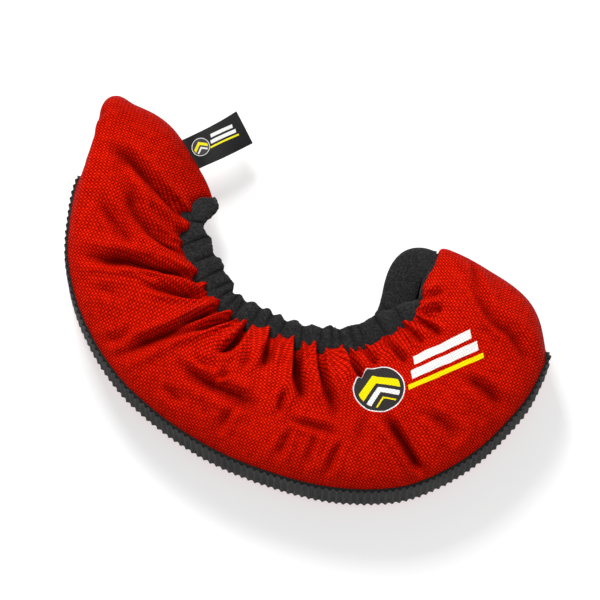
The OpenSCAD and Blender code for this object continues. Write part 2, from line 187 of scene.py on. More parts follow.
def poly_dist(x, y, pts):
    """Distance to a smooth polyline, signed side (left positive) and share along it."""
    c = crom(pts, 6)
    seg = np.linalg.norm(np.diff(c, axis=0), axis=1)
    cum = np.concatenate([[0], np.cumsum(seg)])
    best = np.full(x.shape, 1e9)
    side = np.zeros(x.shape)
    al = np.zeros(x.shape)
    vec = np.zeros(x.shape + (2,))
    for i in range(len(c) - 1):
        a, d = c[i], c[i + 1] - c[i]
        l2 = max(d @ d, 1e-9)
        t = np.clip(((x - a[0]) * d[0] + (y - a[1]) * d[1]) / l2, 0, 1)
        px, py = x - a[0] - t * d[0], y - a[1] - t * d[1]
        dist = np.hypot(px, py)
        sg = np.sign(d[0] * (y - a[1]) - d[1] * (x - a[0]))
        m = dist < best
        best = np.where(m, dist, best)
        side = np.where(m, sg, side)
        al = np.where(m, (cum[i] + t * seg[i]) / cum[-1], al)
        vec = np.where(m[..., None], np.stack([px, py], -1), vec)
    return best, side, al, vec


# Folds of the upper panel: path in mm, depth in mm, width left and right of
# the path's direction, and how strongly each end fades (0 keeps full depth).
def F(path, depth, wl, wr, f0=0.3, f1=0.0):
    return (path, depth, wl, wr, f0, f1)


FOLDS = [
    F([(-84.5, 65), (-79.5, 60), (-73.5, 55), (-66, 48), (-59, 41.5), (-52.5, 35.5)], 3.6, 2.2, 3.6, 0.35, 0),
    F([(-83, 57), (-77.5, 49), (-73.5, 42), (-71.5, 33), (-66, 26.5), (-59, 22), (-51.5, 18.5)], 2.9, 2.2, 3.4, 0.3, 0),
    F([(-90, 41), (-82.5, 31.5), (-75.5, 22.5), (-69, 16.5)], 2.2, 3.2, 2.4, 0.4, 0.3),
    F([(-98.5, 15.5), (-84.5, 12), (-74, 11.5), (-66, 10), (-58.5, 8.5), (-46.5, 6)], 4.2, 2.6, 2, 0.4, 0),
    F([(-73, 7.5), (-66, 5.5), (-58, 4.5)], 1.6, 1.2, 1.2, 0.4, 0.4),
    F([(-71, 2), (-61.5, 0.5), (-51.5, -1), (-42.5, -1.5)], 2.6, 1.8, 1.6, 0.45, 0),
    F([(-82.5, -30.5), (-75, -27.5), (-67.5, -23.5), (-56.5, -18.5), (-46.5, -12), (-36.5, -5.5)], 3.8, 2, 2.4, 0.4, 0),
    F([(-87.5, -23), (-78.5, -21.5), (-70, -19)], 1.5, 2.2, 2.2, 0.4, 0.4),
    F([(-58.5, -22), (-51, -18.5), (-44, -16), (-37.5, -13), (-31.5, -10)], 3.8, 1.3, 1.5, 0.45, 0),
    F([(-39.5, -26.5), (-33.5, -25), (-29, -20.5), (-25, -13.5)], 4.6, 1.4, 1.8, 0.4, 0),
    F([(-39, -39), (-35, -37.5), (-31, -34.5)], 2, 1.6, 1.4, 0.4, 0.4),
    F([(-55, -27.5), (-51, -33.5), (-45, -38), (-39.5, -41), (-33, -44), (-26.5, -47), (-19, -52)], 2.8, 2, 3.2, 0.35, 0.25),
    F([(-47, -27.5), (-42.5, -32), (-37, -34)], 1.4, 1.8, 1.8, 0.4, 0.4),
    F([(-19, -36), (-16.5, -28), (-15, -21.5), (-14, -15)], 3.4, 1.6, 1.8, 0.45, 0),
    F([(-27, -36), (-24.5, -30), (-22, -23.5)], 1.4, 1.8, 1.8, 0.4, 0.4),
    F([(-1.5, -50), (-2.5, -43), (-4, -35.5), (-4, -27), (-4, -19.5)], 5.4, 1.5, 1.9, 0.4, 0),
    F([(-11, -54.5), (-10.5, -48.5), (-8, -42.5)], 2.8, 1.4, 1.6, 0.35, 0.4),
    F([(13, -59), (11, -50), (8.5, -41.5), (6.5, -33), (5.5, -21.5)], 4.2, 1.6, 1.8, 0.45, 0),
    F([(24, -38.5), (21, -33), (18, -27.5), (16, -23.5)], 4.8, 1.1, 1.4, 0.4, 0),
    F([(30, -31), (26.5, -27), (24, -23)], 3, 1.1, 1.2, 0.4, 0),
    F([(42.5, -32), (38.5, -26.5), (35, -22), (33.5, -20)], 2.8, 1.1, 1.3, 0.4, 0),
    F([(50, -23.5), (47, -20.5), (41, -14)], 3.0, 1.2, 1.4, 0.45, 0),
    F([(56.5, -20), (52, -15.5), (47, -11.5)], 2.6, 1.1, 1.2, 0.4, 0),
    F([(57, -8), (52.5, -7), (49, -8)], 2.6, 1.3, 1.3, 0.4, 0),
    F([(58, 0.5), (54.5, 0), (50, -1.5)], 1.4, 1.4, 1.4, 0.4, 0),
    F([(50, -79.5), (46.5, -76), (41.5, -68), (37.5, -61.5), (33.5, -55.5), (31.5, -51)], 4.4, 2.2, 1.6, 0.2, 0.35),
    F([(63, -37.5), (69.5, -40.5), (76, -45), (80.5, -50), (82.5, -55)], 2.9, 2.4, 3, 0.35, 0.4),
    F([(45.5, -52), (52.5, -55), (59, -59.5), (64.5, -66.5)], 1.9, 2.2, 2.6, 0.4, 0.4),
    F([(67.5, 4), (72, -4.5), (77.5, -14), (85, -20), (90, -27.5), (93.5, -37)], 2.5, 3, 1.8, 0.3, 0.35),
    F([(70, 16), (71, 5), (72.5, -3)], 1.7, 1.6, 1.6, 0.3, 0.4),
    F([(-9, -55.5), (-3.5, -57), (2, -58.5), (9, -61), (15, -63.5)], 1.9, 1.6, 1.8, 0.35, 0.4),
    F([(-6.5, -59), (-9, -65.5), (-13, -74)], 1.7, 1.6, 1.8, 0.35, 0.4),
    F([(15, -64), (10.5, -73), (7.5, -82)], 1.8, 1.8, 1.6, 0.35, 0.4),
    F([(5, -60.5), (2, -68.5), (-1, -78)], 1.3, 1.6, 1.6, 0.4, 0.4),
    F([(-28, -49.5), (-33.5, -55.5), (-38, -62)], 1.4, 2, 2, 0.4, 0.4),
    F([(-61.5, -40), (-57, -44.5), (-50.5, -50)], 1.4, 2, 2.4, 0.4, 0.4),
    F([(-91, -0.5), (-83, -1.5), (-74, -4.5)], 1.2, 2.4, 2.4, 0.4, 0.4),
    F([(26, -49.5), (23, -58.5), (22.5, -70)], 1.3, 2, 2, 0.4, 0.4),
    F([(59.5, -75), (68.5, -69), (73.5, -62.5)], 1.2, 2.4, 2.4, 0.4, 0.4),
    F([(-88.5, 72.5), (-87, 77), (-84, 81)], 1.1, 2, 2, 0.4, 0.4),
]


def fold_field(x, y):
    """Height of the folds, and how far the cloth's own coordinates slip into them."""
    h = np.zeros_like(x)
    slip = np.zeros(x.shape + (2,))
    for path, depth, wl, wr, f0, f1 in FOLDS:
        d, sd, al, vec = poly_dist(x, y, path)
        w = np.where(sd > 0, wl, wr) * ((1.12 - 0.40 * sstep(0.3, 1, al)) if f1 == 0 else (0.8 + 0.3 * sstep(0, 1, al)))
        env = np.ones_like(al)
        if f0 > 0:
            env *= sstep(-0.02, f0, al)
        if f1 > 0:
            env *= sstep(1.02, 1 - f1, al)
        r = d / w
        valley = np.exp(-r ** 1.25)
        shoulder = 0.50 * np.exp(-((r - 2.0) / 0.95) ** 2)
        h -= depth * env * (valley - shoulder)
        slip += (env * depth * 0.42 * np.tanh(r) * np.exp(-(r / 7) ** 2) / np.maximum(d, 1e-6))[..., None] * vec
    return h, slip


def gather(u, v, seed, n=30, amp=1.6, v0=0.45):
    """Irregular pleats that grow towards the rim."""
    rng = np.random.RandomState(seed)
    c = np.cumsum(0.6 + rng.rand(n + 2))
    c = c / c[-1]
    ph = np.interp(u, c, np.arange(len(c)))
    a = np.interp(u, c, 0.5 + rng.rand(len(c)))
    w = np.abs(np.sin(np.pi * ph)) ** 0.7 - 0.6
    return w * a * amp * sstep(v0, 1.0, v) ** 1.4


def lin_rows(n, m):
    """Rows that crowd towards both edges of the panel."""
    v = np.linspace(0, 1, m)
    v = 0.5 - 0.5 * np.cos(np.pi * v) * 0.35 - 0.5 * (1 - 2 * v) * 0.65
    u = np.linspace(0, 1, n)
    e = 0.06
    u = u + 0 * u
    return u, np.clip(v, 0, 1)


def u_stations(n):
    k = np.linspace(-1, 1, n)
    k = np.sign(k) * (1 - (1 - np.abs(k)) ** 1.18)
    return (k + 1) / 2


NU, NV = 521, 121
U1 = u_stations(NU)
I_MID = int(np.argmin(np.abs(U1 - U_MID)))
_, V1 = lin_rows(NU, NV)
UU, VV = np.meshgrid(U1, V1, indexing="ij")

# Upper panel: the full shape, its folds, and where each fold ends at the rim
Pn = base_surface(rim, HI_V, HI_Z, +1, UU, VV)
Nn = grid_normals(Pn)
Nn *= np.sign(np.median(Nn[..., 2]))
edge_fade = sstep(0.0, 0.10, VV) * sstep(0.0, 0.028, np.minimum(UU, 1 - UU))
hf, slip = fold_field(Pn[..., 0], Pn[..., 1])
hn = (0.9 * vnoise(Pn[..., 0] / 14, Pn[..., 1] / 14, 3) + 0.4 * vnoise(Pn[..., 0] / 5, Pn[..., 1] / 5, 5)) * (0.5 + 0.7 * VV)
hn = hn + 0.9 * vnoise(UU * L / 7.5, VV * 2.6, 17, 2) * sstep(0.15, 0.8, VV) * (0.35 + 0.65 * sstep(-0.4, 0.5, vnoise(UU * 9, VV * 3, 23, 2)))
h_near = 1.25 * hf + hn
h_near = np.where(h_near > 0, 3.2 * np.tanh(h_near / 3.2), 7.0 * np.tanh(h_near / 7.0))
rim_w = sstep(0.84, 1.0, VV)
h_near = h_near * edge_fade * (1 - np.where(h_near < 0, 0.55, 0.15) * rim_w)
Pn2 = Pn + Nn * h_near[..., None]
# valleys pull the panel's rim edge back, puffs push it over the band
rdir = np.concatenate([rim.left(UU, 0.02), np.zeros(UU.shape + (1,))], -1)
Pn2 = Pn2 + rdir * (np.clip(h_near, -1.0, 0.8) * 0.45 * rim_w * sstep(0, 0.05, np.minimum(UU, 1 - UU)))[..., None]
Pn2[..., 2] = np.maximum(Pn2[..., 2], MIDZ + 0.2)

# Lower panel
Pf = base_surface(lowrim, LO_V, LO_Z, -1, UU, VV)
Nf = grid_normals(Pf)
Nf *= -np.sign(np.median(Nf[..., 2]))          # outward is down
hfar = gather(UU, VV, 21, n=34, amp=1.9, v0=0.5) + 0.5 * vnoise(Pf[..., 0] / 12, Pf[..., 1] / 12, 9) * VV
hfar = 3.0 * np.tanh(hfar / 3.0) * edge_fade
Pf2 = Pf + Nf * hfar[..., None]
Pf2[..., 2] = np.clip(Pf2[..., 2], 0.03, MIDZ - 0.2)


# ------------------------------------------------------------------ mesh building
WEAVE = math.radians(32)


def cloth_xy(base, slip=None):
    """Flat cloth coordinates in mm: the plan position, plus the length that the plan
    view loses where the cloth turns down, plus the slip into folds."""
    q = base[..., :2].copy()
    for ax, ref in ((1, int(0.4 * base.shape[1])), (0, base.shape[0] // 2)):
        d = np.diff(base, axis=ax)
        l3 = np.linalg.norm(d, axis=-1)
        l2 = np.linalg.norm(d[..., :2], axis=-1)
        lost = d[..., :2] / np.maximum(l2, 0.02)[..., None] * np.maximum(l3 - np.maximum(l2, 0.02), 0)[..., None]
        z = np.zeros_like(np.take(lost, [0], axis=ax))
        c = np.concatenate([z, np.cumsum(lost, axis=ax)], axis=ax)
        q = q + c - np.take(c, [ref], axis=ax)
    if slip is not None:
        q = q + slip
    return q


def turn(q, a):
    c, s_ = math.cos(a), math.sin(a)
    return q[..., 0] * c + q[..., 1] * s_, -q[..., 0] * s_ + q[..., 1] * c


def make_mesh(name, verts, faces, uvs=None, attrs=None, normals=None, smooth=True):
    me = bpy.data.meshes.new(name)
    me.from_pydata(verts.tolist(), [], faces.tolist() if hasattr(faces, "tolist") else faces)
    if uvs is not None:
        li = np.zeros(len(me.loops), int)
        me.loops.foreach_get("vertex_index", li)
        for uname, uv in uvs.items():
            layer = me.uv_layers.new(name=uname)
            layer.data.foreach_set("uv", uv[li].astype(np.float32).ravel())
    if attrs is not None:
        for an, av in attrs.items():
            a = me.attributes.new(an, "FLOAT", "POINT")
            a.data.foreach_set("value", av.astype(np.float32))
    me.polygons.foreach_set("use_smooth", np.ones(len(me.polygons), bool) if smooth else np.zeros(len(me.polygons), bool))
    me.update()
    if normals is not None:
        li = np.zeros(len(me.loops), int)
        me.loops.foreach_get("vertex_index", li)
        me.normals_split_custom_set(normals(me, li))
    ob = bpy.data.objects.new(name, me)
    bpy.context.scene.collection.objects.link(ob)
    return ob


def shell(name, A, B, up, uv=None, uv2=None, attr=None, i0=0, i1=None, full=None, loop=False):
    """Closed sheet between grid A (outer) and grid B (inner). up is +1 when A's grid
    order is anticlockwise from outside. Normals come from the whole grid, so that two
    halves of one cloth meet without a line."""
    i1 = A.shape[0] if i1 is None else i1
    NA = grid_normals(A) * up
    NB = -grid_normals(B) * up
    a, b = A[i0:i1], B[i0:i1]
    na, nb = NA[i0:i1], NB[i0:i1]
    n, m = a.shape[:2]
    k = n * m
    verts = np.vstack([a.reshape(-1, 3), b.reshape(-1, 3)]) * MM
    idx = np.arange(k).reshape(n, m)
    q0 = np.stack([idx[:-1, :-1], idx[1:, :-1], idx[1:, 1:], idx[:-1, 1:]], -1).reshape(-1, 4)
    top, bot = q0, q0[:, ::-1] + k
    def wall(e):
        return np.stack([e[1:], e[:-1], e[:-1] + k, e[1:] + k], -1)
    walls = np.vstack([wall(idx[:, 0]), wall(idx[::-1, -1]), wall(idx[-1, :]), wall(idx[0, ::-1])])
    if up < 0:
        top, bot, walls = top[:, ::-1], bot[:, ::-1], walls[:, ::-1]
    faces = np.vstack([top, bot, walls])
    vn = np.vstack([na.reshape(-1, 3), nb.reshape(-1, 3)])
    nf = len(top) + len(bot)

    def normals(me, li):
        out = vn[li]
        w = len(walls)
        fn = np.zeros(len(me.polygons) * 3)
        me.polygons.foreach_get("normal", fn)
        fn = fn.reshape(-1, 3)[nf:]
        out[nf * 4:] = np.repeat(fn, 4, axis=0)
        return out

    uvs = {}
    if uv is not None:
        s, t = uv
        st = np.stack([s[i0:i1], t[i0:i1]], -1).reshape(-1, 2) * MM
        uvs["fabric"] = np.vstack([st, st])
    if uv2 is not None:
        st = uv2[i0:i1].reshape(-1, 2)
        uvs["print"] = np.vstack([st, st])
    attrs = {}
    for an, av in (attr or {}).items():
        w = av[i0:i1].reshape(-1)
        attrs[an] = np.concatenate([w, w])
    return make_mesh(name, verts, faces, uvs, attrs, normals)


def tube(name, rings, uv=None, attr=None, i0=0, i1=None, flip=False):
    """Closed tube through rings (n, m, 3); normals from the whole tube."""
    i1 = rings.shape[0] if i1 is None else i1
    ext = np.concatenate([rings[:, -1:], rings, rings[:, :1]], 1)
    N = grid_normals(ext)[:, 1:-1]
    if flip:
        N = -N
    r = rings[i0:i1]
    nn = N[i0:i1]
    n, m = r.shape[:2]
    idx = np.arange(n * m).reshape(n, m)
    nx = np.roll(idx, -1, axis=1)
    side = np.stack([idx[:-1], idx[1:], nx[1:], nx[:-1]], -1).reshape(-1, 4)
    verts = list(r.reshape(-1, 3) * MM)
    c0, c1 = len(verts), len(verts) + 1
    verts += [r[0].mean(0) * MM, r[-1].mean(0) * MM]
    cap0 = [[int(idx[0, j]), int(nx[0, j]), c0] for j in range(m)]
    cap1 = [[int(nx[-1, j]), int(idx[-1, j]), c1] for j in range(m)]
    faces = [list(map(int, f)) for f in side] + cap0 + cap1
    if flip:
        faces = [f[::-1] for f in faces]
    vn = np.vstack([nn.reshape(-1, 3), [[0, 0, 1], [0, 0, 1]]])
    ns = len(side)

    def normals(me, li):
        out = vn[li]
        fn = np.zeros(len(me.polygons) * 3)
        me.polygons.foreach_get("normal", fn)
        out[ns * 4:] = np.repeat(fn.reshape(-1, 3)[ns:], 3, axis=0)
        return out
    uvs = None
    if uv is not None:
        s, t = uv
        st = np.stack([s[i0:i1], t[i0:i1]], -1).reshape(-1, 2) * MM
        uvs = {"fabric": np.vstack([st, st[:1], st[-1:]])}
    attrs = {}
    for an, av in (attr or {}).items():
        w = av[i0:i1].reshape(-1)
        attrs[an] = np.concatenate([w, w[:1], w[-1:]])
    return make_mesh(name, np.array(verts), faces, uvs, attrs, normals)


# ------------------------------------------------------------------ materials
def new_mat(name):
    m = bpy.data.materials.new(name)
    m.use_nodes = True
    nt = m.node_tree
    for n in list(nt.nodes):
        nt.nodes.remove(n)
    out = nt.nodes.new("ShaderNodeOutputMaterial")
    bs = nt.nodes.new("ShaderNodeBsdfPrincipled")
    nt.links.new(bs.outputs[0], out.inputs[0])
    return m, nt, bs


class G:
    """Small helper for shader maths."""
    def __init__(self, nt):
        self.nt = nt

    def _in(self, node, i, v):
        if isinstance(v, (int, float)):
            node.inputs[i].default_value = v
        else:
            self.nt.links.new(v, node.inputs[i])

    def m(self, op, a, b=None, c=None, clamp=False):
        n = self.nt.nodes.new("ShaderNodeMath")
        n.operation = op
        n.use_clamp = clamp
        self._in(n, 0, a)
        if b is not None:
            self._in(n, 1, b)
        if c is not None:
            self._in(n, 2, c)
        return n.outputs[0]

    def uv(self, name):
        n = self.nt.nodes.new("ShaderNodeUVMap")
        n.uv_map = name
        s = self.nt.nodes.new("ShaderNodeSeparateXYZ")
        self.nt.links.new(n.outputs[0], s.inputs[0])
        return s.outputs[0], s.outputs[1], n.outputs[0]

    def attr(self, name):
        n = self.nt.nodes.new("ShaderNodeAttribute")
        n.attribute_name = name
        return n.outputs["Fac"]

    def obj(self):
        n = self.nt.nodes.new("ShaderNodeTexCoord")
        return n.outputs["Object"]

    def noise(self, vec, scale, detail=3, rough=0.55):
        n = self.nt.nodes.new("ShaderNodeTexNoise")
        n.inputs["Scale"].default_value = scale
        n.inputs["Detail"].default_value = detail
        n.inputs["Roughness"].default_value = rough
        self.nt.links.new(vec, n.inputs["Vector"])
        return n.outputs["Fac"]

    def voro(self, vec, scale, feature="F1"):
        n = self.nt.nodes.new("ShaderNodeTexVoronoi")
        n.feature = feature
        n.inputs["Scale"].default_value = scale
        self.nt.links.new(vec, n.inputs["Vector"])
        return n.outputs["Distance"]

    def ramp(self, fac, stops):
        n = self.nt.nodes.new("ShaderNodeValToRGB")
        self.nt.links.new(fac, n.inputs[0])
        cr = n.color_ramp
        while len(cr.elements) < len(stops):
            cr.elements.new(0.5)
        for e, (p, c) in zip(cr.elements, stops):
            e.position = p
            e.color = (*c, 1)
        return n.outputs[0]

    def mix(self, fac, a, b, blend="MIX"):
        n = self.nt.nodes.new("ShaderNodeMix")
        n.data_type = "RGBA"
        n.blend_type = blend
        self._in(n, 0, fac)
        for i, v in ((6, a), (7, b)):
            if isinstance(v, tuple):
                n.inputs[i].default_value = (*v, 1)
            else:
                self.nt.links.new(v, n.inputs[i])
        return n.outputs[2]

    def bump(self, height, strength, dist, normal=None):
        n = self.nt.nodes.new("ShaderNodeBump")
        n.inputs["Strength"].default_value = strength
        n.inputs["Distance"].default_value = dist
        self.nt.links.new(height, n.inputs["Height"])
        if normal is not None:
            self.nt.links.new(normal, n.inputs["Normal"])
        return n.outputs[0]


def weave_height(g, s, t, pitch, rot45=True):
    """Plain weave: warp and weft cells in a checker, each yarn rounded across
    itself and dipping where it goes under."""
    k = 1000.0 / pitch
    if rot45:
        a = g.m("MULTIPLY", g.m("ADD", s, t), k * 0.7071)
        b = g.m("MULTIPLY", g.m("SUBTRACT", s, t), k * 0.7071)
    else:
        a = g.m("MULTIPLY", s, k)
        b = g.m("MULTIPLY", t, k)
    sa = g.m("ABSOLUTE", g.m("SINE", g.m("MULTIPLY", a, math.pi)))
    sb = g.m("ABSOLUTE", g.m("SINE", g.m("MULTIPLY", b, math.pi)))
    chk = g.m("MODULO", g.m("ADD", g.m("FLOOR", a), g.m("FLOOR", b)), 2.0)
    chk = g.m("ABSOLUTE", chk)
    warp = g.m("MULTIPLY", g.m("POWER", sa, 0.55), g.m("MULTIPLY_ADD", sb, 0.5, 0.5))
    weft = g.m("MULTIPLY", g.m("POWER", sb, 0.55), g.m("MULTIPLY_ADD", sa, 0.5, 0.5))
    h = g.m("ADD", g.m("MULTIPLY", warp, chk), g.m("MULTIPLY", weft, g.m("SUBTRACT", 1.0, chk)))
    return h, chk


def mat_red(with_print):
    m, nt, bs = new_mat("red_nylon_weave" + ("_print" if with_print else ""))
    g = G(nt)
    s, t, vec = g.uv("fabric")
    h, chk = weave_height(g, s, t, 1.06, False)
    ob = g.obj()
    big = g.noise(ob, 26, 3)
    fine = g.noise(ob, 1300, 2)
    uneven = g.noise(ob, 380, 2)
    # yarn colour: bright crowns on one set of yarns, deeper on the other, dark gaps between; the yarn pattern is the
    # cloth's own, the bright crowns are painted highlight and the dark gaps painted shade
    hh = g.m("ADD", g.m("MULTIPLY", h, g.m("MULTIPLY_ADD", chk, 0.22, 0.60)), g.m("ADD", g.m("MULTIPLY", fine, 0.10), g.m("MULTIPLY_ADD", uneven, 0.34, -0.15)))
    col = g.ramp(hh, [(0.10, (0.08, 0.0005, 0.0002)), (0.40, (0.29, 0.0026, 0.0004)), (0.66, (0.62, 0.0075, 0.0008)), (0.95, (0.86, 0.020, 0.0016))])
    tone = g.m("MULTIPLY", g.m("SUBTRACT", big, 0.42, clamp=True), 1.3, clamp=True)
    col = g.mix(tone, col, g.mix(1.0, col, (0.72, 0.55, 0.5), "MULTIPLY"))
    # painted shade on sideways-facing cloth and along the heel and toe seams (edge attribute)
    col = g.mix(g.m("MULTIPLY", g.attr("edge"), 0.9, clamp=True), col, g.mix(1.0, col, (0.66, 0.5, 0.45), "MULTIPLY"))
    # painted shade in the fold valleys (fold attribute)
    fold = g.attr("fold")
    col = g.mix(g.m("MULTIPLY", fold, 0.9, clamp=True), col, g.mix(1.0, col, (0.13, 0.06, 0.05), "MULTIPLY"))
    if with_print:
        x, y, _ = g.uv("print")
        def box(cx, cy, hw, hh_, slant=0.24, soft=0.1):
            xs = g.m("SUBTRACT", g.m("SUBTRACT", x, cx), g.m("MULTIPLY", g.m("SUBTRACT", y, cy), slant))
            ax = g.m("DIVIDE", g.m("SUBTRACT", hw, g.m("ABSOLUTE", xs)), soft, clamp=True)
            ay = g.m("DIVIDE", g.m("SUBTRACT", hh_, g.m("ABSOLUTE", g.m("SUBTRACT", y, cy))), soft, clamp=True)
            return g.m("MULTIPLY", ax, ay)
        def disc(cx, cy, r, soft=0.1):
            d = g.m("SQRT", g.m("ADD", g.m("POWER", g.m("ABSOLUTE", g.m("SUBTRACT", x, cx)), 2.0), g.m("POWER", g.m("ABSOLUTE", g.m("SUBTRACT", y, cy)), 2.0)))
            return g.m("DIVIDE", g.m("SUBTRACT", r, d), soft, clamp=True)
        white, yellow, black = (0.86, 0.85, 0.84), (0.90, 0.74, 0.004), (0.010, 0.008, 0.008)
        ink = g.m("MULTIPLY_ADD", h, 0.45, 0.60, clamp=True)
        # the print is darkened in the fold valleys by the same painted shade
        ink = g.m("MULTIPLY", ink, g.m("MULTIPLY_ADD", fold, -0.75, 1.0, clamp=True))
        def paint(c, mask, colr, k=0.97):
            return g.mix(g.m("MULTIPLY", mask, k), c, g.mix(ink, tuple(q * 0.18 for q in colr), colr))
        # a round badge with plain chevrons
        col = paint(col, disc(0, 0, 10.8), white)
        col = paint(col, disc(0, 0, 10.35), black)
        up = g.m("SUBTRACT", y, g.m("MULTIPLY", g.m("ABSOLUTE", x), -0.75))
        inner = disc(0, 0, 8.8)
        def band_at(c0, hw_):
            return g.m("MULTIPLY", g.m("DIVIDE", g.m("SUBTRACT", hw_, g.m("ABSOLUTE", g.m("SUBTRACT", up, c0))), 0.1, clamp=True), inner)
        col = paint(col, band_at(5.2, 2.1), yellow)
        col = paint(col, band_at(-0.2, 1.4), white)
        col = paint(col, band_at(-4.4, 0.5), yellow)
        # three plain stripes
        col = paint(col, box(31.0, 6.0, 13.0, 2.0), white)
        col = paint(col, box(29.6, 0.2, 15.0, 2.0), white)
        col = paint(col, box(28.2, -4.6, 17.0, 1.1), yellow)
    nt.links.new(col, bs.inputs["Base Color"])
    bs.inputs["Roughness"].default_value = 0.72
    bs.inputs["Specular IOR Level"].default_value = 0.03
    bs.inputs["Specular Tint"].default_value = (1.0, 0.35, 0.2, 1)
    n1 = g.bump(h, 0.7, 0.0003)
    n2 = g.bump(fine, 0.2, 0.00008, n1)
    nt.links.new(n2, bs.inputs["Normal"])
    return m


def mat_terry(name="black_terry", base=(0.005, 0.005, 0.0052), hi=(0.021, 0.0212, 0.0216)):
    m, nt, bs = new_mat(name)
    g = G(nt)
    ob = g.obj()
    loops = g.voro(ob, 1250)
    n2 = g.noise(ob, 480, 4, 0.7)
    n3 = g.noise(ob, 60, 3)
    f = g.m("ADD", g.m("MULTIPLY", loops, 0.6), g.m("MULTIPLY", n2, 0.6))
    col = g.ramp(f, [(0.28, base), (0.62, hi), (0.95, tuple(c * 1.9 for c in hi))])
    col = g.mix(g.m("MULTIPLY", n3, 0.5), col, base)
    # painted shade in the creases of the rim bands (fold attribute)
    col = g.mix(g.m("MULTIPLY", g.attr("fold"), 0.85, clamp=True), col, tuple(c * 0.2 for c in base))
    nt.links.new(col, bs.inputs["Base Color"])
    bs.inputs["Roughness"].default_value = 1.0
    bs.inputs["Specular IOR Level"].default_value = 0.05
    bs.inputs["Sheen Weight"].default_value = 0.06
    bs.inputs["Sheen Roughness"].default_value = 0.6
    b1 = g.bump(f, 1.0, 0.0006)
    nt.links.new(b1, bs.inputs["Normal"])
    return m


def mat_rubber():
    m, nt, bs = new_mat("ribbed_black_strip")
    g = G(nt)
    ob = g.obj()
    grain = g.noise(ob, 1400, 3, 0.6)
    patch = g.noise(ob, 70, 4)
    crest = g.attr("crest")
    col = g.ramp(g.m("ADD", g.m("MULTIPLY", grain, 0.5), g.m("MULTIPLY", patch, 0.5)), [(0.3, (0.0025, 0.0026, 0.0026)), (0.7, (0.0065, 0.0066, 0.0066))])
    col = g.mix(g.m("MULTIPLY", g.m("MULTIPLY", crest, patch), 0.6, clamp=True), col, (0.015, 0.015, 0.015))
    nt.links.new(col, bs.inputs["Base Color"])
    r = g.m("MULTIPLY_ADD", patch, 0.25, 0.50)
    nt.links.new(r, bs.inputs["Roughness"])
    bs.inputs["Specular IOR Level"].default_value = 0.12
    nt.links.new(g.bump(grain, 0.5, 0.00012), bs.inputs["Normal"])
    return m


def mat_cloth_simple(name, c0, c1, pitch, rough=0.8, rot=False):
    m, nt, bs = new_mat(name)
    g = G(nt)
    ob = g.obj()
    s, t, _ = g.uv("fabric")
    h, _ = weave_height(g, s, t, pitch, rot)
    n = g.noise(ob, 200, 3)
    f = g.m("ADD", g.m("MULTIPLY", h, 0.7), g.m("MULTIPLY", n, 0.3))
    nt.links.new(g.ramp(f, [(0.2, c0), (0.85, c1)]), bs.inputs["Base Color"])
    bs.inputs["Roughness"].default_value = rough
    bs.inputs["Specular IOR Level"].default_value = 0.2
    nt.links.new(g.bump(h, 0.5, 0.00015), bs.inputs["Normal"])
    return m


def mat_tape():
    """For the CAD seam tapes, which have no cloth coordinates: a twill in object space."""
    m, nt, bs = new_mat("seam_tape_twill")
    g = G(nt)
    ob = g.obj()
    sx = nt.nodes.new("ShaderNodeSeparateXYZ")
    nt.links.new(ob, sx.inputs[0])
    w = g.m("SINE", g.m("MULTIPLY", g.m("ADD", g.m("ADD", sx.outputs[0], sx.outputs[1]), sx.outputs[2]), 5200.0))
    w = g.m("MULTIPLY_ADD", w, 0.5, 0.5)
    n = g.noise(ob, 260, 3)
    f = g.m("ADD", g.m("MULTIPLY", w, 0.6), g.m("MULTIPLY", n, 0.4))
    nt.links.new(g.ramp(f, [(0.25, (0.012, 0.012, 0.013)), (0.8, (0.04, 0.04, 0.042))]), bs.inputs["Base Color"])
    bs.inputs["Roughness"].default_value = 0.85
    nt.links.new(g.bump(w, 0.4, 0.00015), bs.inputs["Normal"])
    return m


